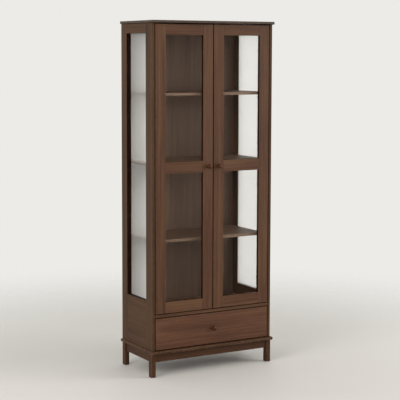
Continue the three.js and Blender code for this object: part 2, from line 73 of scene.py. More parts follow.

# %% [markdown]
# ## From arrays to a piece
#
# A mesh is a few arrays: its points, the points of each face, and the way the surface looks at each
# point. The object stays at the origin, because its place is in the points.
#
# Two more arrays go on the points for the finishes. `arris` says how much a point belongs to an
# outer edge, which wears first and catches the light; its paler tone paints both that wear and a
# highlight. `log` is where it lay in the tree that the board was sawn from: two numbers across the
# trunk, from the pith, and one along the grain. Object coordinates would give every board the same
# cut of one tree; a log of its own gives each its own grain.

# %% Put arrays into a mesh
LEAST_PITH, MOST_PITH = 0.05, 0.16  # from the pith to the middle of a board
MOST_ASIDE = 0.03  # of that middle, across the board's width
LOG_LENGTH = 6
board_count = 0


def add_object(name, data):
    """Puts a mesh, lamp or camera into the scene."""
    thing = bpy.data.objects.new(name, data)
    bpy.context.scene.collection.objects.link(thing)
    return thing


def log_places(points, grain):
    """Each point's place in its log: the board's width and thickness, then its length, with its
    middle at a chance distance from the pith, a chance offset and a chance height up the tree."""
    chance = np.random.default_rng(board_count)
    size = np.ptp(points, axis=0)
    across = sorted((axis for axis in (X, Y, Z) if axis != grain), key=lambda axis: -size[axis])
    middle = (points.max(axis=0) + points.min(axis=0)) / 2
    local = (points - middle)[:, [*across, grain]]
    away = chance.uniform(LEAST_PITH, MOST_PITH) * chance.choice([-1, 1])
    return local + [chance.uniform(-MOST_ASIDE, MOST_ASIDE), away, chance.uniform(0, LOG_LENGTH)]


def make_piece(name, shells, grain):
    """Joins closed shells, each (points, normals, arris, faces), into one mesh object."""
    global board_count
    board_count += 1
    starts = np.cumsum([0] + [len(shell[0]) for shell in shells[:-1]])
    points, normals, arris = (np.concatenate([shell[k] for shell in shells]) for k in range(3))
    faces = [[corner + int(start) for corner in face]
             for start, shell in zip(starts, shells) for face in shell[3]]
    mesh = bpy.data.meshes.new(name)
    mesh.from_pydata(points.tolist(), [], faces)
    worn_and_lit = mesh.attributes.new("arris", "FLOAT", "POINT")
    worn_and_lit.data.foreach_set("value", arris.astype(np.float32))
    places = mesh.attributes.new("log", "FLOAT_VECTOR", "POINT")
    places.data.foreach_set("vector", log_places(points, grain).astype(np.float32).ravel())
    mesh.shade_smooth()
    mesh.normals_split_custom_set_from_vertices(normals.tolist())
    return add_object(name, mesh)


def dressed(name, body, shells, material, grain=Z, node=None):
    """A piece in its material that rides on a body and may stand for a CAD node, in its slot."""
    piece = make_piece(name, shells, grain)
    piece.data.materials.append(material)
    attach(piece, body)
    if node:
        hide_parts(node)
    return piece


def grid_shell(points, normals, arris=None):
    """A closed shell, (points, normals, arris, faces), from a grid of points and their normals.

    The grid closes round its columns, and a flat face covers each end.
    """
    rows, columns = points.shape[:2]
    row = np.arange(rows - 1)[:, None] * columns
    column = np.arange(columns)[None, :]
    right = (column + 1) % columns
    quads = [row + column, row + right, row + columns + right, row + columns + column]
    faces = np.stack(np.broadcast_arrays(*quads), -1).reshape(-1, 4).tolist()
    last = (rows - 1) * columns
    faces += [list(range(columns))[::-1], list(range(last, last + columns))]
    worn_and_lit = np.zeros((rows, columns)) if arris is None else arris
    return points.reshape(-1, 3), normals.reshape(-1, 3), worn_and_lit.ravel(), faces


# %% [markdown]
# ## Boards with softened arrises
#
# A real board never has a knife edge: the maker takes each arris off with fine paper, and that thin
# rounding is what catches the light. A Bevel modifier could do it, but it has no say in which edges
# get the paler arris tone, which paints both wear and a highlight. Here a board is a section
# carried along its length, with a quarter turn at every corner and at both ends, so one function
# makes plain boards, rebated stiles, grooved sides and plates.

# %% Round the corners of a section
EASE = 1.5 * MM  # radius of a softened arris
FINE = 0.6 * MM  # the same on glass and thin boards
# The wear bands below also set where a paler tone paints both wear and a highlight along an arris.
WORN_AND_LIT_BAND = 2.5 * MM  # how far wear reaches along a board from an arris
END_BAND = 1.2 * MM  # and across its end
MOST_RADIUS = 0.3  # of a corner, as a share of the shorter side beside it
MOST_BAND = 0.45  # of wear, as a share of its side
TURN_STEPS = 3
quarter = np.linspace(0, math.pi / 2, TURN_STEPS + 1)


def eased_section(corners, radius):
    """Rounds every corner of a right-angled outline that runs anticlockwise.

    A corner c, reached along the unit direction u and left along v, becomes the quarter circle
    c - r u + r v + r (u sin t - v cos t) for t from 0 to 90 degrees, between two plain points on
    its edges. Returns points, outward normals and each point's share in an outer arris.
    """
    corners = np.asarray(corners, float)
    arriving = corners - np.roll(corners, 1, axis=0)
    leaving = np.roll(corners, -1, axis=0) - corners
    length_in = np.linalg.norm(arriving, axis=1)
    length_out = np.linalg.norm(leaving, axis=1)
    u = (arriving / length_in[:, None])[:, None, :]
    v = (leaving / length_out[:, None])[:, None, :]
    turn = np.sign(u[..., 0] * v[..., 1] - u[..., 1] * v[..., 0])[..., None]
    r = np.minimum(radius, MOST_RADIUS * np.minimum(length_in, length_out))[:, None, None]
    swing = u * np.sin(quarter)[None, :, None] - v * np.cos(quarter)[None, :, None]
    c = corners[:, None, :]
    before = c - u * np.minimum(radius + WORN_AND_LIT_BAND, MOST_BAND * length_in)[:, None, None]
    after = c + v * np.minimum(radius + WORN_AND_LIT_BAND, MOST_BAND * length_out)[:, None, None]
    points = np.concatenate([before, c + r * (v - u) + r * swing, after], axis=1)
    normals = turn * np.concatenate([swing[:, :1], swing, swing[:, -1:]], axis=1)
    arris = np.zeros(points.shape[:2])
    arris[:, 1:-1] = np.maximum(turn[..., 0], 0)
    return points.reshape(-1, 2), normals.reshape(-1, 2), arris.ravel()


def carried(section, start, stop, along, radius, inwards=None):
    """Carries a section along an axis from start to stop, with both ends eased.

    Near an end the section shrinks by r (1 - sin t) while it advances by r (1 - cos t), t from 0 to
    90 degrees. One more ring on the end's face and one further along keep the arris narrow.
    `inwards` may replace the direction in which each point shrinks.
    """
    ring, outward, ring_arris = section
    inwards = -outward if inwards is None else inwards
    clear = min(radius + WORN_AND_LIT_BAND, MOST_BAND * (stop - start))
    rise = np.r_[0, radius * (1 - np.cos(quarter)), clear]
    shrink = np.r_[radius + END_BAND, radius * (1 - np.sin(quarter)), 0]
    lean = np.r_[0, quarter, math.pi / 2]
    end_arris = np.r_[0, np.ones(len(quarter)), 0]
    places = np.r_[start + rise, (stop - rise)[::-1]]
    shrink = np.r_[shrink, shrink[::-1]]
    sine = np.r_[np.sin(lean), np.sin(lean)[::-1]]
    cosine = np.r_[-np.cos(lean), np.cos(lean)[::-1]]
    end_arris = np.r_[end_arris, end_arris[::-1]]
    a, b = (along + 1) % 3, (along + 2) % 3
    points = np.empty((len(places), len(ring), 3))
    points[..., [a, b]] = ring[None] + shrink[:, None, None] * inwards[None]
    points[..., along] = places[:, None]
    normals = np.empty_like(points)
    normals[..., [a, b]] = outward[None] * sine[:, None, None]
    normals[..., along] = cosine[:, None]
    arris = np.maximum(ring_arris[None, :], end_arris[:, None])
    arris[[0, -1]] = 0
    return grid_shell(points, normals, arris)


def outline(low, high, notches=()):
    """A rectangle's corners, anticlockwise; `notches` maps a corner, as (+-1, +-1), to its size."""
    notches = dict(notches)
    low, high = np.asarray(low, float), np.asarray(high, float)
    corners = []
    for corner in ((-1, -1), (1, -1), (1, 1), (-1, 1)):
        here = np.where(np.array(corner) > 0, high, low)
        if corner not in notches:
            corners.append(here)
            continue
        step = -np.array(corner) * np.array(notches[corner])
        aside = [here + [step[0], 0], here + step, here + [0, step[1]]]
        reached_along_first = corner[0] * corner[1] < 0
        corners.extend(aside if reached_along_first else aside[::-1])
    return corners


def groove(face, floor, low, high):
    """Corners of a groove between two levels: in from the face to its floor and out again."""
    return [(low, face), (low, floor), (high, floor), (high, face)]


def plain_board(low, high, along, radius=EASE, notches=()):
    """A straight board that fills a box, with its arrises eased."""
    a, b = (along + 1) % 3, (along + 2) % 3
    section = eased_section(outline((low[a], low[b]), (high[a], high[b]), notches), radius)
    return carried(section, low[along], high[along], along, radius)


print("a plain board has", len(plain_board((0, 0, 0), (0.1, 0.02, 0.5), Z)[0]), "points")

# %% [markdown]
# ## Building node materials
#
# A finish is a small graph of nodes, and these helpers keep the graphs readable. Colours are
# written in the usual screen values, and turned to the light values that Blender works in.

# %% Helpers for node graphs


def tone(screen):
    """Light values of a colour written as '#rrggbb'."""
    values = np.array([int(screen[i:i + 2], 16) for i in (1, 3, 5)]) / 255
    light = np.where(values <= 0.04045, values / 12.92, ((values + 0.055) / 1.055) ** 2.4)
    return (*light.tolist(), 1.0)


def new_material(name):
    """An empty node material and its tree."""
    material = bpy.data.materials.new(name)
    material.use_nodes = True
    material.node_tree.nodes.clear()
    return material, material.node_tree


def join(tree, socket, value):
    """Sets a socket to a value, or links another node's output to it."""
    if isinstance(value, bpy.types.NodeSocket):
        tree.links.new(value, socket)
    else:
        socket.default_value = value


def add_node(tree, kind, inputs=None, **settings):
    """Adds a node; `inputs` maps a socket to a value or to another node's output."""
    node = tree.nodes.new("ShaderNode" + kind)
    for key, value in settings.items():
        setattr(node, key, value)
    for key, value in (inputs or {}).items():
        join(tree, node.inputs[key], value)
    return node


def maths(tree, operation, first, second=0.0, third=0.0, clamp=False):
    """The result of one arithmetic step."""
    return add_node(tree, "Math", {0: first, 1: second, 2: third},
                    operation=operation, use_clamp=clamp).outputs[0]


def stretched(tree, vector, scale):
    """A vector multiplied axis by axis, which stretches a pattern along the small factors."""
    return add_node(tree, "VectorMath", {0: vector, 1: scale}, operation="MULTIPLY").outputs[0]


def noise(tree, vector, scale=1.0, detail=2.0, roughness=0.5):
    """Smooth noise between 0 and 1."""
    inputs = {"Vector": vector, "Scale": scale, "Detail": detail, "Roughness": roughness}
    return add_node(tree, "TexNoise", inputs).outputs["Fac"]


def ramp(tree, value, stops):
    """A colour ramp from (place, colour) stops."""
    node = add_node(tree, "ValToRGB", {"Fac": value})
    elements = node.color_ramp.elements
    while len(elements) < len(stops):
        elements.new(0.5)
    for element, (place, colour) in zip(elements, stops):
        element.position = place
        element.color = colour
    return node.outputs["Color"]


def mask(tree, value, low, high):
    """0 below low, 1 above high, smooth between."""
    inputs = {"Value": value, "From Min": low, "From Max": high}
    node = add_node(tree, "MapRange", inputs, interpolation_type="SMOOTHSTEP")
    return node.outputs["Result"]


def mixed(tree, share, first, second):
    """Two colours mixed by share."""
    node = add_node(tree, "Mix", data_type="RGBA")
    for key, value in ((0, share), (6, first), (7, second)):
        join(tree, node.inputs[key], value)
    return node.outputs[2]


def relieved(tree, height, strength, depth, inputs):
    """A principled shader whose surface rises with `height`; returns its output and the relief."""
    values = {"Strength": strength, "Distance": depth, "Height": height}
    relief = add_node(tree, "Bump", values).outputs[0]
    return add_node(tree, "BsdfPrincipled", {**inputs, "Normal": relief}).outputs[0], relief


# %% [markdown]
# ## Stained wood
#
# The case is a close-grained hardwood under a dark walnut stain and a satin lacquer. What the eye
# reads as wood is several patterns at once: growth rings about the pith, bands of years that took
# the stain differently, fibres, and short dark pores. A picture of wood would be quicker, but it
# would wrap wrongly round an arris, while a pattern in the log's own space runs through the board
# as real grain does. Edges that face a pane or a gap get painted shade, a nearly black wood that
# stands in for the shadow there, so that every door and drawer is drawn round with a crisp dark
# line.

# %% The wood finish
RING_SPACING = 5 * MM
FIBRE_DEPTH = 0.25 * MM
# How often each pattern changes in a metre, across the trunk both ways and along it.
DRIFT, BLOTCHES = (7, 7, 1.1), (9, 9, 2.5)
STREAKS, FIBRES, PORES = (110, 110, 1.6), (750, 750, 11), (1500, 1500, 70)
BAND_SCALE, BAND_DRIFT = 75, 0.006
WANDER = (0.03, 0.03, 0)  # how far the drift bends the grain


def wood(name, tones, figure=1.0, gloss=0.48, shine=0.2, glint="#ffffff"):
    """A stained wood, in tones for its dark, middle and light grain and a paler arris that paints
    both wear and a highlight; `figure` scales how strongly the rings and bands show, and `glint`
    tints the shine."""
    dark, middle, light, worn_and_lit = (tone(colour) for colour in tones.split())
    material, tree = new_material(name)
    place = add_node(tree, "Attribute", attribute_name="log").outputs["Vector"]
    drift = add_node(tree, "TexNoise", {"Vector": stretched(tree, place, DRIFT),
                                        "Scale": 1.0, "Detail": 2.0}).outputs["Color"]
    centred = add_node(tree, "VectorMath", {0: drift, 1: (0.5, 0.5, 0.5)}, operation="SUBTRACT")
    wander = stretched(tree, centred.outputs[0], WANDER)
    bent = add_node(tree, "VectorMath", {0: place, 1: wander}, operation="ADD").outputs[0]
    trunk = stretched(tree, bent, (1, 1, 0))
    from_pith = add_node(tree, "VectorMath", {0: trunk}, operation="LENGTH").outputs["Value"]
    along = add_node(tree, "SeparateXYZ", {0: bent}).outputs[2]
    slowly = maths(tree, "MULTIPLY", along, BAND_DRIFT)
    year = add_node(tree, "CombineXYZ", {0: from_pith, 1: slowly}).outputs[0]
    bands = noise(tree, year, scale=BAND_SCALE, detail=3, roughness=0.6)
    turns = maths(tree, "MULTIPLY", from_pith, 2 * math.pi / RING_SPACING)
    ring = maths(tree, "MULTIPLY_ADD", maths(tree, "SINE", turns), 0.5, 0.5)
    late_wood = maths(tree, "POWER", ring, 3)
    streaks = noise(tree, stretched(tree, bent, STREAKS), detail=5, roughness=0.6)
    fibres = noise(tree, stretched(tree, bent, FIBRES), detail=3, roughness=0.65)
    blotches = noise(tree, stretched(tree, place, BLOTCHES), detail=3)
    pores = mask(tree, noise(tree, stretched(tree, bent, PORES), detail=1), 0.62, 0.72)

    spread = 0.53
    weights = (bands, figure), (streaks, 0.9 * figure), (fibres, 0.5), (blotches, 0.4)
    for pattern, weight in weights:
        swing = maths(tree, "SUBTRACT", pattern, 0.5)
        spread = maths(tree, "MULTIPLY_ADD", swing, weight, spread)
    spread = maths(tree, "MULTIPLY_ADD", late_wood, -0.08 * figure, spread, clamp=True)
    colour = ramp(tree, spread, [(0.12, dark), (0.5, middle), (0.9, light)])
    colour = mixed(tree, maths(tree, "MULTIPLY", pores, 0.55), colour, dark)
    # A paler tone along the arris, broken up by noise, paints both wear and a highlight.
    arris = add_node(tree, "Attribute", attribute_name="arris").outputs["Fac"]
    patchy = mask(tree, noise(tree, place, scale=55, detail=4), 0.35, 0.65)
    wear_and_highlight = maths(tree, "MULTIPLY", arris, patchy)
    colour = mixed(tree, maths(tree, "MULTIPLY", wear_and_highlight, 0.35), colour, worn_and_lit)

    sheen = maths(tree, "MULTIPLY_ADD", fibres, 0.14, gloss - 0.07)
    sheen = maths(tree, "MULTIPLY_ADD", pores, 0.18, sheen)
    height = maths(tree, "MULTIPLY_ADD", pores, -0.8, fibres)
    height = maths(tree, "MULTIPLY_ADD", late_wood, 0.25, height)
    shader = relieved(tree, height, 0.35, FIBRE_DEPTH, {
        "Base Color": colour, "Roughness": sheen, "Specular IOR Level": shine,
        "Specular Tint": tone(glint)})[0]
    add_node(tree, "OutputMaterial", {0: shader})
    return material


# The fourth tone of each wood is its paler arris, which paints both wear and a highlight.
WOODS = {name: wood(name, tones, **look) for name, tones, look in (
    ("door_wood", "#3b2015 #553723 #6d4e35 #8a694b", {}),
    ("side_wood", "#342419 #4d3624 #604732 #7c5d46", {"figure": 0.8, "shine": 0.1}),
    ("plate_wood", "#322016 #482f1f #5c402e #7d614b", {"figure": 0.7, "shine": 0.12}),
    ("drawer_wood", "#392314 #593826 #76523a #8b6a54", {"figure": 0.8}),
    # The inner wood's tone is lifted above the outer stain, which paints light into the dim
    # interior.
    ("inside_wood", "#443226 #644d3c #7e6653 #927c6b", {"figure": 0.8}),
    # painted shade: a near-black wood on faces in gaps and recesses, where it stands in for their
    # shadow
    ("painted_shade_wood", "#140803 #220f06 #2e170b #3a2012", {"figure": 0.6, "shine": 0.08}),
    ("knob_wood", "#1c0703 #3c190c #5c2f18 #7a4a30",
     {"gloss": 0.16, "shine": 0.55, "glint": "#e0a884"}),
    ("top_wood", "#2e251f #443930 #584b41 #7a695b", {"figure": 0.7}),
    # The back's hardboard tone is lifted a little, which paints light into the dim case.
    ("back_board", "#3f3228 #5e4a3d #78624f #8c7460", {"figure": 0.6, "gloss": 0.55}),
    ("drawer_box_wood", "#8f7050 #b3936e #c8ab86 #d2b894", {"figure": 0.6, "gloss": 0.55}),
)}
print("woods:", ", ".join(WOODS))

# %% Boards that stand for CAD nodes
FACING = 0.6  # the cosine within which a face counts as looking along a direction


def second_finish(piece, material, directions, before=math.inf):
    """Gives `material` to the faces that look along any of `directions` and lie before a depth."""
    mesh = piece.data
    if material.name not in mesh.materials:
        mesh.materials.append(material)
    count = len(mesh.polygons)
    normals, centres, slots = np.empty(3 * count), np.empty(3 * count), np.empty(count, np.int32)
    mesh.polygons.foreach_get("normal", normals)
    mesh.polygons.foreach_get("center", centres)
    mesh.polygons.foreach_get("material_index", slots)
    alike = (normals.reshape(-1, 3) @ np.array(directions, float).T).max(axis=1) > FACING
    slots[alike & (centres.reshape(-1, 3)[:, Y] < before)] = mesh.materials.find(material.name)
    mesh.polygons.foreach_set("material_index", slots)


def finish_board(node, body, shells, grain, slot, ending="board", edges=(), finish=None):
    """The piece that stands for a CAD node, in the slot's wood or another named by `finish`.

    `edges` holds the directions in which a pane or a gap lies: faces there get painted shade,
    a near-black wood that stands in for the shadow in that gap or recess.
    """
    piece = dressed(f"{node}_{ending}", body, shells, WOODS[finish or slot], grain, node)
    if edges:
        second_finish(piece, WOODS["painted_shade_wood"], edges)
    return piece


# Prints the near-black wood that paints shade in the gaps and recesses.
print("edge stain:", WOODS["painted_shade_wood"].name)

# %% [markdown]
# ## The two moulded plates
#
# The top and base plates stand out past the case at the front and sides, with a rounded nose run
# along those three edges and square-sawn backs. Each is the same carried section, stood on its
# face: its plan is the section, and the eased end, now with the nose's radius, is the moulding. At
# the back the points only shrink sideways, so that the sawn face stays flat.

# %% Nosed plates
NOSE = 6 * MM
PLATE_CORNER = 9 * MM


def extent(node):
    """Lowest and highest corner of a CAD node, as arrays."""
    low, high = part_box(node)
    return np.array(low), np.array(high)


def nosed_plate(node, **finish):
    """A plate whose ends shrink to the front and sides by the nose's quarter circle."""
    low, high = extent(node)
    radii = np.array([PLATE_CORNER, PLATE_CORNER, FINE, FINE])
    section = eased_section(outline(low[:2], high[:2]), radii)
    inwards = -section[1]
    inwards[:, 1] = np.maximum(inwards[:, 1], 0)
    shell = carried(section, low[Z], high[Z], Z, NOSE, inwards)
    plate = finish_board(node, "carcass", [shell], X, "plate_wood", **finish)
    print(plate.name, "has", len(plate.data.polygons), "faces")


# The top plate's underside gets painted shade, for the dark shadow line under its front.
nosed_plate("top_plate", edges=[(0, 0, -1)], finish="top_wood")
nosed_plate("base_plate")

# %% [markdown]
# ## Plain boards of the case
#
# Legs, aprons, the rail under the doors, the floor, the back and the drawer's runners are the boxes
# that the CAD gives, with their arrises taken off. The legs get a rounder edge, for feet and
# brooms meet them.

# %% Legs, aprons and inner boards
LEG_EASE = 3 * MM
UP_AND_DOWN = [(0, 0, 1), (0, 0, -1)]
LEGS = [f"leg_{end}_{name}" for end in ("front", "rear") for name, _ in SIDES]
PLAIN_BOARDS = [
    *((leg, Z, "plate_wood", LEG_EASE) for leg in LEGS),
    *((f"{end}_apron", X, "plate_wood", EASE) for end in ("front", "rear")),
    *((f"{name}_apron", Y, "plate_wood", EASE) for name, _ in SIDES),
    ("divider_rail", X, "door_wood", EASE),
    ("cabinet_floor", X, "inside_wood", EASE),
    ("back_panel", Z, "back_board", FINE),
    *((f"{name}_drawer_runner", Y, "drawer_box_wood", EASE) for name, _ in SIDES),
]
for node, grain, slot, radius in PLAIN_BOARDS:
    piece = finish_board(node, "carcass", [plain_board(*extent(node), grain, radius)], grain, slot)
    # The rail's top and bottom faces get painted shade, for the shadow in the gaps above and below.
    if node == "divider_rail":
        second_finish(piece, WOODS["painted_shade_wood"], UP_AND_DOWN)
print("plain boards:", len(PLAIN_BOARDS))

# %% [markdown]
# ## The glazed side frames
#
# Each side is a frame: two stiles, a rail at the top and a deep panel below, round a frosted pane.
# The stiles are rebated on the inside for the door, the glass and the back. A rebate is a notch in
# the section, and its size is read from what sits in it. The rails lap over the glass rebates with
# a thin tongue, which is how such a frame is glued up without an open corner behind the glass.

# %% Side frames
SEAM = 0.3 * MM  # the gap between pieces that touch
GLASS_GAP = 1 * MM  # left round a pane so that it never carries the frame
TONGUE_DROP = 0.1 * MM  # a tongue lies this far under the faces of its own rail


def inner_face(name):
    """How far from the cabinet's middle a side's stiles begin."""
    return min(abs(corner[X]) for corner in extent(f"{name}_front_stile"))


def lapped_rail(node, along, start, stop, notches, limits):
    """A rail's two shells: its body between two stiles, and its tongue over their rebates.

    `limits` says where the tongue stops, as a place for each (0 for low or 1 for high, axis).
    """
    low, high = extent(node)
    rail, tongue = [low.copy(), high.copy()], [low + TONGUE_DROP, high - TONGUE_DROP]
    rail[0][along], rail[1][along] = start + SEAM, stop - SEAM
    tongue[0][along], tongue[1][along] = low[along], high[along]
    for (end, axis), place in limits.items():
        tongue[end][axis] = place
    return [plain_board(*rail, along, notches=notches), plain_board(*tongue, along, FINE)]


def side_frame(name, side):
    """Two stiles with rebates for door, glass and back, and two lapped rails."""
    stile_low, stile_high = extent(f"{name}_front_stile")
    rear_low, rear_high = extent(f"{name}_rear_stile")
    pane_low, pane_high = extent(f"{name}_side_glass")
    panel_low, panel_high = extent("back_panel")
    divider_high = extent("divider_rail")[1]
    inner = inner_face(name)
    rebate_width = stile_high[Y] - pane_low[Y] + GLASS_GAP
    rebate_depth = max(abs(pane_low[X]), abs(pane_high[X])) - inner + SEAM
    door_rebate = (divider_high[X] + SEAM - inner, divider_high[Y] + SEAM - stile_low[Y])
    back_rebate = (panel_high[X] + GLASS_GAP - inner, rear_high[Y] - panel_low[Y] + SEAM)
    rebate = (rebate_depth, rebate_width)
    rebates = {"front": (1, door_rebate, rebate), "rear": (-1, rebate, back_rebate)}
    for end, (edge, before, behind) in rebates.items():
        node = f"{name}_{end}_stile"
        stile = plain_board(*extent(node), Z, notches={(-side, -1): before, (-side, 1): behind})
        # Faces towards the pane get painted shade, for the shadow in the recess round the glass.
        piece = finish_board(node, "carcass", [stile], Z, "side_wood", edges=[(0, edge, 0)])
        if end == "front":
            # The lip beside the door gets painted shade too, for the shadow in the door's gap.
            door_back = stile_low[Y] + door_rebate[1]
            second_finish(piece, WOODS["painted_shade_wood"], [(-side, 0, 0)], before=door_back)

    for node, edge in ((f"{name}_side_top_rail", -1), (f"{name}_side_lower_panel", 1)):
        limits = {(int(side > 0), X): side * (inner + rebate_depth - SEAM)}
        end = int(edge > 0)
        limits[end, Z] = extent(node)[end][Z] - edge * (rebate_width + TONGUE_DROP)
        notches = {(edge, -side): (rebate_width, rebate_depth)}
        shells = lapped_rail(node, Y, stile_high[Y], rear_low[Y], notches, limits)
        # The face towards the pane gets painted shade, for the shadow in the recess round the
        # glass.
        finish_board(node, "carcass", shells, Y, "side_wood", edges=[(0, 0, edge)])
    return rebate_width, rebate_depth


for name, side in SIDES:
    width, depth = side_frame(name, side)
    print(name, "side frame: glass rebate", round(width / MM, 1), "by", round(depth / MM, 1), "mm")

# %% [markdown]
# ## Shelves
#
# The middle shelf is fixed: its ends are let into the stiles, and between them it is cut back to
# clear the frosted glass. The other two are loose. Each has a kerf sawn in both ends, open to the
# back, and slides over a bent steel wire; a strip along the front edge hides the kerf.

# %% Shelves


def loose_shelf(node):
    """A strip along the front, and behind it a section with a kerf in each end."""
    low, high = extent(node)
    wire_low, wire_high = extent(f"{node}_wire_right")
    kerf_low, kerf_high = wire_low[Z] - SEAM, wire_high[Z] + SEAM
    kerf_end = wire_low[X] - SEAM
    strip_back = wire_low[Y] - SEAM
    strip = plain_board(low, (high[X], strip_back, high[Z]), X)
    corners = outline((low[Z], low[X]), (high[Z], high[X]))
    left_kerf = groove(low[X], -kerf_end, kerf_low, kerf_high)
    right_kerf = [(z, -x) for z, x in left_kerf[::-1]]
    corners = [corners[0], *left_kerf, *corners[1:3], *right_kerf, corners[3]]
    board = carried(eased_section(corners, FINE), strip_back - EASE - FINE, high[Y], Y, FINE)
    finish_board(node, "carcass", [strip, board], X, "inside_wood")


def middle_shelf(node):
    """The shelf's plan, cut back at both ends between the stiles, carried up its thickness."""
    low, high = extent(node)
    clear = extent("right_side_glass")
    front, rear = clear[0][Y] - GLASS_GAP, clear[1][Y] + GLASS_GAP
    right = [(x, y) for y, x in groove(high[X], inner_face("right") - SEAM, front, rear)]
    left = [(-x, y) for x, y in right[::-1]]
    corners = outline(low[:2], high[:2])
    corners = [*corners[:2], *right, *corners[2:], *left]
    shell = carried(eased_section(corners, EASE), low[Z], high[Z], Z, EASE)
    finish_board(node, "carcass", [shell], X, "inside_wood")


for node in ("top_shelf", "bottom_shelf"):
    loose_shelf(node)
middle_shelf("middle_shelf")
print("shelves: 2 on wires, 1 let into the stiles")

# %% [markdown]
# ## The doors
#
# A door is two stiles and three rails round two clear panes. The stiles run the full height, so
# their grain stands and the rails' lies between them, and the butted joints show as fine lines.
# Every member is rebated at the back where it meets glass.

# %% Door frames
ALL_ROUND = UP_AND_DOWN + [(1, 0, 0), (-1, 0, 0)]


def door_frame(name, side):
    """Two full-height stiles and three lapped rails, rebated at the back for the glass."""
    door = f"{name}_door"
    hinge_low, hinge_high = extent(f"{door}_hinge_stile")
    meeting_low, meeting_high = extent(f"{door}_meeting_stile")
    pane_low = extent(f"{door}_upper_glass")[0]
    depth = hinge_high[Y] - pane_low[Y] + SEAM
    if side < 0:
        opening = (hinge_high[X], meeting_low[X])
    else:
        opening = (meeting_high[X], hinge_low[X])
    width = opening[0] - pane_low[X] + GLASS_GAP
    for part, towards in (("hinge_stile", -side), ("meeting_stile", side)):
        node = f"{door}_{part}"
        stile = plain_board(*extent(node), Z, notches={(towards, 1): (width, depth)})
        # Every edge of a stile gets painted shade, for the shadow in the gaps and round the glass.
        finish_board(node, door, [stile], Z, "door_wood", edges=ALL_ROUND)

    for part, glass_edges in (("top_rail", (-1,)), ("middle_rail", (-1, 1)), ("bottom_rail", (1,))):
        node = f"{door}_{part}"
        corners = extent(node)
        limits = {(0, Y): corners[1][Y] - depth + SEAM}
        for edge in glass_edges:
            end = int(edge > 0)
            limits[end, Z] = corners[end][Z] - edge * width
        notches = {(1, edge): (depth, width) for edge in glass_edges}
        shells = lapped_rail(node, X, *opening, notches, limits)
        # The top and bottom faces of a rail get painted shade, for the shadow in the gaps and round
        # the glass.
        finish_board(node, door, shells, X, "door_wood", edges=UP_AND_DOWN)
    return opening


for name, side in SIDES:
    opening = door_frame(name, side)
    print(name, "door: glazed opening", round((opening[1] - opening[0]) / MM), "mm wide")

# %% [markdown]
# ## The drawer
#
# Behind the stained front is a plain box of pale wood that nobody finishes: two sides, a back and a
# thin bottom. Each side has a deep groove outside for its runner and a shallow one inside for the
# bottom, so its section is drawn corner by corner.

# %% Drawer box


def drawer_side(name, side):
    """Its section, as (z, x) corners with a groove in each face, carried to the back."""
    low, high = extent(f"drawer_{name}_side")
    runner_low, runner_high = extent(f"{name}_drawer_runner")
    bottom_low, bottom_high = extent("drawer_bottom")
    outer, inner = (high[X], low[X]) if side > 0 else (low[X], high[X])
    runner_floor = (runner_low[X] if side > 0 else runner_high[X]) - side * SEAM
    bottom_floor = (bottom_high[X] if side > 0 else bottom_low[X]) + side * SEAM
    outside = groove(outer, runner_floor, runner_low[Z] - SEAM, runner_high[Z] + SEAM)
    inside = groove(inner, bottom_floor, bottom_low[Z] - SEAM, bottom_high[Z] + SEAM)
    outside = [(low[Z], outer), *outside, (high[Z], outer)]
    inside = [(low[Z], inner), *inside, (high[Z], inner)]
    corners = outside + inside[::-1]
    corners = corners[::-1] if side > 0 else corners
    shell = carried(eased_section(corners, FINE), low[Y], high[Y], Y, FINE)
    finish_board(f"drawer_{name}_side", "drawer", [shell], Y, "drawer_box_wood")


drawer_front = extent("drawer_front")
# The drawer front's four edges get painted shade, for the shadow in the gaps round it.
finish_board("drawer_front", "drawer", [plain_board(*drawer_front, X)], X, "drawer_wood",
             edges=ALL_ROUND)
for name, side in SIDES:
    drawer_side(name, side)
for node in ("drawer_back", "drawer_bottom"):
    finish_board(node, "drawer", [plain_board(*extent(node), X, FINE)], X, "drawer_box_wood")
print("drawer front:", np.round((drawer_front[1] - drawer_front[0]) / MM).tolist(), "mm")

# %% [markdown]
# ## Turned knobs
#
# The three knobs are turned from a darker, redder wood and polished. A turned shape is one profile
# swung about an axis: from a small foot it draws in to the neck, swells to the head and closes in a
# shallow dome.

# %% Turn a profile about an axis
TURN_SIDES = 48
KNOT_STEPS = 8


def swung(radius, height, sides, axis, direction):
    """A grid with r cos a and r sin a across an axis and h along it, for a all the way round."""
    angle = np.linspace(0, 2 * math.pi, sides, endpoint=False)
    grid = np.empty((len(radius), sides, 3))
    grid[..., (axis + 1) % 3] = radius[:, None] * np.cos(angle)
    grid[..., (axis + 2) % 3] = radius[:, None] * np.sin(angle) * direction
    grid[..., axis] = height * direction
    return grid


def turned(profile, centre, axis, direction):
    """Swings (radius, height) points about an axis; a normal is the profile's slope, turned a
    quarter and swung the same way."""
    profile = np.asarray(profile, float)
    slope = np.gradient(profile, axis=0)
    slope /= np.linalg.norm(slope, axis=1, keepdims=True)
    points = swung(profile[:, 0], profile[:, 1:], TURN_SIDES, axis, direction)
    normals = swung(slope[:, 1], -slope[:, :1], TURN_SIDES, axis, direction)
    return grid_shell(points + centre, normals)


def smooth_profile(knots):
    """A soft curve through (radius, height) knots.

    Between two knots the curve is the cubic whose slope at each knot is half the step from the
    knot before to the knot after.
    """
    knots = np.asarray(knots, float)
    slopes = np.gradient(knots, axis=0)
    t = np.linspace(0, 1, KNOT_STEPS, endpoint=False)[None, :, None]
    start, stop = knots[:-1, None], knots[1:, None]
    leave, arrive = slopes[:-1, None], slopes[1:, None]
    curve = (start * (2 * t**3 - 3 * t**2 + 1) + leave * (t**3 - 2 * t**2 + t)
             + stop * (3 * t**2 - 2 * t**3) + arrive * (t**3 - t**2))
    return np.concatenate([curve.reshape(-1, 2), knots[-1:]])


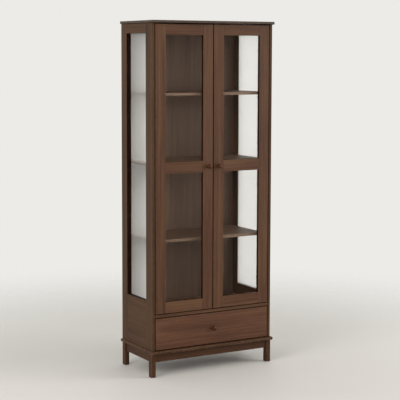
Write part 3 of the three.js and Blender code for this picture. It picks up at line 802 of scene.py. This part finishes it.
# %% Knobs
KNOB_KNOTS = [  # radius and height in millimetres
    (9.2, 0.3), (9.5, 1.4), (8.8, 2.8), (7.2, 5.2), (6.8, 8.0), (8.3, 11.0), (11.9, 13.8),
    (13.5, 17.2), (12.9, 20.6), (10.2, 23.2), (5.6, 24.7), (0.6, 25.0),
]


def knob(body, carrier):
    """The profile, scaled to the node's radius and height and swung about its middle."""
    node = f"{body}_knob"
    low, high = extent(node)
    face = extent(carrier)[0][Y]
    middle, proud = (low + high) / 2, face - low[Y]
    profile = smooth_profile(KNOB_KNOTS)
    profile *= [(high[X] - low[X]) / 2 / profile[:, 0].max(), proud / profile[:, 1].max()]
    shell = turned(profile, (middle[X], face, middle[Z]), Y, direction=-1)
    finish_board(node, body, [shell], Y, "knob_wood", ending="turned")
    print(node, "stands", round(float(proud) / MM, 1), "mm proud")


for name, side in SIDES:
    knob(f"{name}_door", f"{name}_door_meeting_stile")
knob("drawer", "drawer_front")

# %% [markdown]
# ## Glass
#
# The doors hold clear float glass: nearly invisible, with soft ripples and the film of a wiped
# pane. A renderer would let lamp light through it only by rare lucky rays, so a shadow ray meets a
# plain see-through shader instead. The side panes are etched on their inner face. Most of the light
# that meets that face leaves it in all directions, some of it onwards, which is a translucent
# shader beside the glass shader: the pane glows with the light behind it, and only what nearly
# touches it, such as a shelf's end, draws a soft dark line.

# %% Clear and etched glass
RELIEF_DEPTH = 0.05 * MM
FILM_TINT = 0.97  # what a wiped film lets through
GLASS_IOR = 1.1  # low, so that the pale room is only faintly mirrored


def glass(name, colour, transmission, roughness, roughness_spread, grain_scale, relief, shadow,
          glow=0.0):
    """Glass that passes on the share `glow` of light in all directions.

    Of the rest, `transmission` goes straight through and what is left scatters back.
    """
    material, tree = new_material(name)
    place = add_node(tree, "TexCoord").outputs["Object"]
    film = noise(tree, place, scale=7, detail=5, roughness=0.6)
    grit = noise(tree, place, scale=grain_scale, detail=2)
    ripple = maths(tree, "MULTIPLY_ADD", noise(tree, place, scale=5), 4, grit)
    clean = tone(colour)
    filmed = (*(FILM_TINT * value for value in clean[:3]), 1)
    tint = mixed(tree, film, filmed, clean)
    rough = maths(tree, "MULTIPLY_ADD", film, roughness_spread, roughness)
    surface, slope = relieved(tree, ripple, relief, RELIEF_DEPTH, {
        "Base Color": tint, "Roughness": rough, "Transmission Weight": transmission,
        "IOR": GLASS_IOR})
    if glow:
        spread = add_node(tree, "BsdfTranslucent", {"Color": tint, "Normal": slope}).outputs[0]
        surface = add_node(tree, "MixShader", {0: glow, 1: surface, 2: spread}).outputs[0]
    clear = add_node(tree, "BsdfTransparent", {"Color": tone(shadow)}).outputs[0]
    in_shadow = add_node(tree, "LightPath").outputs["Is Shadow Ray"]
    surface = add_node(tree, "MixShader", {0: in_shadow, 1: surface, 2: clear}).outputs[0]
    add_node(tree, "OutputMaterial", {0: surface})
    return material


CLEAR_GLASS = glass("clear_glass", "#fefefd", transmission=1.0, roughness=0.0,
                    roughness_spread=0.03, grain_scale=9, relief=0.03, shadow="#f4f4f2")
ETCHED_GLASS = glass("etched_glass", "#dcdbd9", transmission=0.2, roughness=0.3,
                     roughness_spread=0.08, grain_scale=1600, relief=0.4, shadow="#f0efec",
                     glow=0.75)


def pane(node, body, etched=()):
    """A pane of clear glass; `etched` is where its etched face looks, if it has one."""
    shell = plain_board(*extent(node), Z, FINE)
    piece = dressed(f"{node}_pane", body, [shell], CLEAR_GLASS, Z, node)
    if etched:
        second_finish(piece, ETCHED_GLASS, [etched])


for name, side in SIDES:
    pane(f"{name}_side_glass", "carcass", etched=(-side, 0, 0))
    for height in ("upper", "lower"):
        pane(f"{name}_door_{height}_glass", f"{name}_door")
print("panes: 2 etched, 4 clear")

# %% [markdown]
# ## Steel and plastic
#
# The small hardware is drawn steel wire, stamped plates, turned pins and a moulded plastic catch.
# Steel shows fine scratches that stretch its highlights, and the pins that the doors turn on are
# blacked, so that they don't wink in the gap above a door. Moulded plastic has a faint orange peel.

# %% Steel and plastic finishes
SCRATCH_DEPTH = 0.05 * MM
PEEL_DEPTH = 0.1 * MM


def steel(name, colour, dulled, roughness):
    """Scratched steel that is `colour` where it is clean and `dulled` where it has tarnished."""
    material, tree = new_material(name)
    place = add_node(tree, "TexCoord").outputs["Object"]
    scratches = noise(tree, stretched(tree, place, (900, 900, 90)), detail=3)
    tarnish = noise(tree, place, scale=60, detail=3)
    tint = mixed(tree, mask(tree, tarnish, 0.4, 0.75), tone(colour), tone(dulled))
    rough = maths(tree, "MULTIPLY_ADD", scratches, 0.25, roughness)
    shader = relieved(tree, scratches, 0.2, SCRATCH_DEPTH, {
        "Base Color": tint, "Metallic": 1.0, "Roughness": rough})[0]
    add_node(tree, "OutputMaterial", {0: shader})
    return material


def moulded_plastic(name, colour):
    """Plastic of a colour, paler where it is scuffed, with the skin of its mould."""
    material, tree = new_material(name)
    place = add_node(tree, "TexCoord").outputs["Object"]
    peel = noise(tree, place, scale=700, detail=2)
    scuffs = noise(tree, place, scale=90, detail=4)
    tint = mixed(tree, mask(tree, scuffs, 0.5, 0.8), tone(colour), tone("#5c534c"))
    rough = maths(tree, "MULTIPLY_ADD", scuffs, 0.2, 0.4)
    shader = relieved(tree, peel, 0.25, PEEL_DEPTH, {"Base Color": tint, "Roughness": rough})[0]
    add_node(tree, "OutputMaterial", {0: shader})
    return material


PIN_STEEL = steel("pin_steel", "#a5a29c", "#6f675d", 0.25)
BLACKED_STEEL = steel("blacked_steel", "#2a2321", "#191412", 0.4)
BROWN_PLASTIC = moulded_plastic("brown_plastic", "#2b2624")
hardware = [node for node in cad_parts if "_wire_" in node or node.endswith("_pivot")]
for node in hardware:
    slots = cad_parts[node].data.materials
    slots.clear()
    slots.append(BLACKED_STEEL if node.endswith("_pivot") else PIN_STEEL)
print("steel CAD nodes:", len(hardware))

# %% [markdown]
# ## The catch
#
# Both doors close against one magnetic catch under the top plate. Two steel pole pieces show in its
# front face, and each door carries a thin plate that they hold.

# %% Catch, poles and strike plates
POLE_SIZE = np.array([16, 2, 7]) * MM
STRIKE_SIZE = np.array([20, 0.45, 12]) * MM
POLE_PROUD = 0.15 * MM
STRIKE_INSET = 0.8 * STRIKE_SIZE[X]  # from a door's meeting edge to the middle of its plate
STRIKE_DROP = 2 * MM  # from the door's top edge down to its plate


def block_at(middle, size, radius):
    """An eased block about its middle, carried along its longest side."""
    middle, size = np.asarray(middle), np.asarray(size)
    return plain_board(middle - size / 2, middle + size / 2, int(np.argmax(size)), radius)


catch_low, catch_high = extent("door_catch")
catch_shell = plain_board(catch_low, catch_high, X, FINE)
dressed("door_catch_body", "carcass", [catch_shell], BROWN_PLASTIC, X,
        "door_catch")
catch_z = (catch_low[Z] + catch_high[Z]) / 2
pole_y = catch_low[Y] - POLE_PROUD + POLE_SIZE[Y] / 2
for name, side in SIDES:
    stile_top = extent(f"{name}_door_meeting_stile")[1]
    strike_x = side * (extent("right_door_meeting_stile")[0][X] + STRIKE_INSET)
    strike_y = stile_top[Y] + STRIKE_SIZE[Y] / 2
    strike_z = stile_top[Z] - STRIKE_SIZE[Z] / 2 - STRIKE_DROP
    pole = block_at((strike_x, pole_y, catch_z), POLE_SIZE, POLE_PROUD)
    dressed(f"catch_pole_{name}", "carcass", [pole], PIN_STEEL)
    strike = block_at((strike_x, strike_y, strike_z), STRIKE_SIZE, POLE_PROUD)
    dressed(f"{name}_door_strike_plate", f"{name}_door", [strike], PIN_STEEL)
print("catch at height", round(catch_z, 3), "m")

# %% [markdown]
# ## Clips, screws and tacks
#
# Glass in a rebate is held from behind by small plastic clips, each with one screw, and a thin back
# is tacked into its rebate every ten centimetres or so. All of it shows as soon as a door opens or
# the case is turned round.

# %% Screw heads
HEAD_RINGS, HEAD_SIDES = 9, 32
# Shares of the head's height, then of its radius: the flat on top, and the cross's half width
# with the slope of its walls, and its reach with the slope of its ends.
DOME, CROSS_DEPTH = 0.8, 0.45
HEAD_CROWN = 0.06
CROSS_WIDTH, CROSS_WALL, CROSS_REACH, CROSS_END = 0.22, 0.09, 0.75, 0.15


def screw_head(centre, axis, direction, radius, height, crossed=True):
    """A domed head: at a share r of its radius it is h (1 - 0.8 r^2) high, less a dip near either
    line of a cross; a short wall goes down to its seat."""
    spread = np.linspace(HEAD_CROWN, 1, HEAD_RINGS)[::-1, None]
    angle = np.linspace(0, 2 * math.pi, HEAD_SIDES, endpoint=False)
    nearest = spread * np.minimum(abs(np.sin(angle)), abs(np.cos(angle)))
    dip = np.clip((CROSS_WIDTH - nearest) / CROSS_WALL, 0, 1)
    dip *= np.clip((CROSS_REACH - spread) / CROSS_END, 0, 1)
    rise = height * (1 - DOME * spread**2 - CROSS_DEPTH * dip * crossed)
    rise = np.vstack([np.zeros(HEAD_SIDES), rise])
    spread = np.r_[1.0, spread[:, 0]]
    points = swung(radius * spread, rise, HEAD_SIDES, axis, direction)
    along = np.gradient(points, axis=0)
    around = (np.roll(points, -1, axis=1) - np.roll(points, 1, axis=1)) / 2
    normals = np.cross(around, along)
    normals /= np.maximum(np.linalg.norm(normals, axis=2, keepdims=True), 1e-12)
    return grid_shell(points + centre, normals)


# %% Clips that hold the glass
CLIP_SIZE = (16 * MM, 9 * MM, 1.5 * MM)  # across the joint, along the frame, thick
CLIP_BACK = 2 * MM     # kept back from the opening, so that it hides from the front
CLIP_SCREW = 4.5 * MM  # from the clip's outer end to its screw
CLIP_EASE = 0.5 * MM
DOOR_LEVELS = np.array([0.12, 0.5, 0.88])  # shares of a pane's height
SIDE_LEVELS = np.array([0.1, 0.37, 0.64, 0.9])
SCREW_RADIUS, SCREW_HEIGHT = 2.6 * MM, 1.1 * MM


def clips(name, body, places, face_axis, facing):
    """Clips at places, each a point on the opening's edge and the direction outwards from there."""
    plates, screws = [], []
    for point, outwards in places:
        point, outwards = np.asarray(point, float), np.asarray(outwards, float)
        size = np.full(3, CLIP_SIZE[1])
        size[int(np.argmax(abs(outwards)))] = CLIP_SIZE[0]
        size[face_axis] = CLIP_SIZE[2]
        lift = np.zeros(3)
        lift[face_axis] = facing * CLIP_SIZE[2] / 2
        middle = point + outwards * (CLIP_BACK + CLIP_SIZE[0] / 2) + lift
        plates.append(block_at(middle, size, CLIP_EASE))
        seat = point + outwards * (CLIP_BACK + CLIP_SIZE[0] - CLIP_SCREW) + 2 * lift
        screws.append(screw_head(seat, face_axis, facing, SCREW_RADIUS, SCREW_HEIGHT))
    dressed(f"{name}_clips", body, plates, BROWN_PLASTIC)
    dressed(f"{name}_clip_screws", body, screws, PIN_STEEL)


def door_clips(name, height):
    """Three clips on each side of a door's pane, one above and one below."""
    low, high = extent(f"{name}_door_{height}_glass")
    back = extent(f"{name}_door_hinge_stile")[1][Y]
    edge = min(extent(f"{name}_door_{part}_stile")[1][X] for part in ("hinge", "meeting"))
    low, high = low + (edge - low[X]), high - (edge - low[X])
    levels = low[Z] + (high[Z] - low[Z]) * DOOR_LEVELS
    middle = (low[X] + high[X]) / 2
    ends = ((-1, low), (1, high))
    places = [((end[X], back, z), (way, 0, 0)) for way, end in ends for z in levels]
    places += [((middle, back, end[Z]), (0, 0, way)) for way, end in ends]
    clips(f"{name}_door_{height}_glass", f"{name}_door", places, Y, 1)


def side_clips(name, side):
    """Four clips down each side of a side pane."""
    low, high = extent(f"{name}_side_glass")
    front, rear = extent(f"{name}_front_stile")[1][Y], extent(f"{name}_rear_stile")[0][Y]
    inner = side * inner_face(name)
    levels = low[Z] + (high[Z] - low[Z]) * SIDE_LEVELS
    places = [((inner, y, z), (0, way, 0)) for way, y in ((-1, front), (1, rear)) for z in levels]
    clips(f"{name}_side_glass", "carcass", places, X, -side)


for name, side in SIDES:
    side_clips(name, side)
    for height in ("upper", "lower"):
        door_clips(name, height)
print("clips: 8 on each pane")

# %% Tacks in the back
TACK_RADIUS, TACK_HEIGHT = 2.4 * MM, 0.8 * MM
TACK_SPACING = 105 * MM
TACK_INSET = 5 * MM


def back_tacks():
    """Evenly spaced heads round the back's edge and along the middle shelf."""
    low, high = extent("back_panel")
    shelf_low, shelf_high = extent("middle_shelf")
    left, right = low[X] + TACK_INSET, high[X] - TACK_INSET
    bottom, top = low[Z] + TACK_INSET, high[Z] - TACK_INSET
    across = np.linspace(left, right, round((right - left) / TACK_SPACING) + 1)
    upwards = np.linspace(bottom, top, round((top - bottom) / TACK_SPACING) + 1)[1:-1]
    shelf = (shelf_low[Z] + shelf_high[Z]) / 2
    places = [(x, z) for z in (bottom, top) for x in across]
    places += [(x, shelf) for x in across[1:-1]]
    places += [(x, z) for x in (left, right) for z in upwards]
    heads = [screw_head((x, high[Y], z), Y, 1, TACK_RADIUS, TACK_HEIGHT, crossed=False)
             for x, z in places]
    dressed("back_panel_tacks", "carcass", heads, PIN_STEEL)
    return len(heads)


print("tacks in the back:", back_tacks())

# %% [markdown]
# ## Floor, light and camera
#
# The stage is plain: a pale floor that fades into an equally pale background. The world's colour
# counts three times: what the camera and gloss look at is the pale backdrop, what glass looks out
# on is white, and what lights the matt surfaces is a gentler grey. Two large soft lamps give the
# rest: the key from the right, which also lights the right pane from behind, and a left fill.

# %% Pale floor and backdrop
BACKDROP = tone("#ecebe7")
FLOOR = tone("#ebe8e2")
FLOOR_RADIUS, FLOOR_SIDES = 9.0, 96
FADE_START, FADE_END = 1.0, 3.4

material, tree = new_material("pale_floor")
place = add_node(tree, "TexCoord").outputs["Object"]
radius = add_node(tree, "VectorMath", {0: place}, operation="LENGTH").outputs["Value"]
mottle = mixed(tree, noise(tree, place, scale=3, detail=4), FLOOR, tone("#e7e4dd"))
matt = add_node(tree, "BsdfPrincipled", {"Base Color": mottle, "Roughness": 0.6}).outputs[0]
gone = add_node(tree, "BsdfTransparent").outputs[0]
fade = mask(tree, radius, FADE_START, FADE_END)
faded = add_node(tree, "MixShader", {0: fade, 1: matt, 2: gone}).outputs[0]
add_node(tree, "OutputMaterial", {0: faded})
angle = np.linspace(0, 2 * math.pi, FLOOR_SIDES, endpoint=False)
points = FLOOR_RADIUS * np.stack([np.cos(angle), np.sin(angle), 0 * angle], axis=1)
disc = bpy.data.meshes.new("floor")
disc.from_pydata(points.tolist(), [], [list(range(FLOOR_SIDES))])
disc.materials.append(material)
add_object("floor", disc)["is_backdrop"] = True

world = bpy.data.worlds.new("soft_studio")
bpy.context.scene.world = world
world.use_nodes = True
tree = world.node_tree
tree.nodes.clear()
AMBIENT = tone("#c6c6c6")
WHITE = tone("#ffffff")
rays = add_node(tree, "LightPath").outputs
seen = maths(tree, "MAXIMUM", rays["Is Camera Ray"], rays["Is Glossy Ray"])
surroundings = mixed(tree, seen, AMBIENT, BACKDROP)
surroundings = mixed(tree, rays["Is Transmission Ray"], surroundings, WHITE)
sky = add_node(tree, "Background", {"Color": surroundings}).outputs[0]
add_node(tree, "OutputWorld", {0: sky})
print("floor radius", FLOOR_RADIUS, "m")

# %% Lamps


def soft_lamp(name, place, aim, size, power, colour):
    """A round lamp of a diameter in metres and a power in watts that shines at a point."""
    data = bpy.data.lights.new(name, "AREA")
    data.shape = "DISK"
    data.size = size
    data.energy = power
    data.color = colour
    lamp = add_object(name, data)
    lamp.location = place
    lamp.rotation_euler = (Vector(aim) - Vector(place)).to_track_quat("-Z", "Y").to_euler()


CHEST = (0, 0, 1.0)
soft_lamp("key", (4.4, -3.0, 2.2), CHEST, 3.4, 128, (1.0, 0.985, 0.97))
soft_lamp("fill", (-4.2, -1.7, 2.6), CHEST, 3.0, 88, (1.0, 0.975, 0.93))
print("lamps:", len(bpy.data.lights))

# %% Camera
# The camera stands at the left front above eye height, looks down by six degrees and is tipped by
# a seventh of a degree. A long lens and a small shift keep the uprights nearly parallel.
CAMERA_PLACE = (-3.459, -6.084, 1.79)
LOOK_RIGHT, LOOK_DOWN, TIP = (math.radians(angle) for angle in (29.73, 5.88, 0.14))
LENS_MM = 110.5
SHIFT_UP = -0.05
FAR_CLIP = 100

camera_data = bpy.data.cameras.new("camera")
camera_data.lens = LENS_MM
camera_data.shift_y = SHIFT_UP
camera_data.clip_end = FAR_CLIP
camera = add_object("camera", camera_data)
camera.matrix_world = (
    Matrix.Translation(CAMERA_PLACE) @ Matrix.Rotation(-LOOK_RIGHT, 4, "Z")
    @ Matrix.Rotation(math.pi / 2 - LOOK_DOWN, 4, "X") @ Matrix.Rotation(TIP, 4, "Z"))
bpy.context.scene.camera = camera
bpy.context.scene.view_settings.view_transform = "Standard"
print("camera", round((Vector(CAMERA_PLACE) - Vector(CHEST)).length, 2), "m from the cabinet")

# %% [markdown]
# ## Sizes, and the end
#
# The dressed cabinet's size is printed beside the size that the construction gives.

# %% Write the sizes and finish
seen_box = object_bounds()
for kind, box in (("cad", cad_box), ("visual", seen_box)):
    print(kind, np.round(box, 4).tolist())
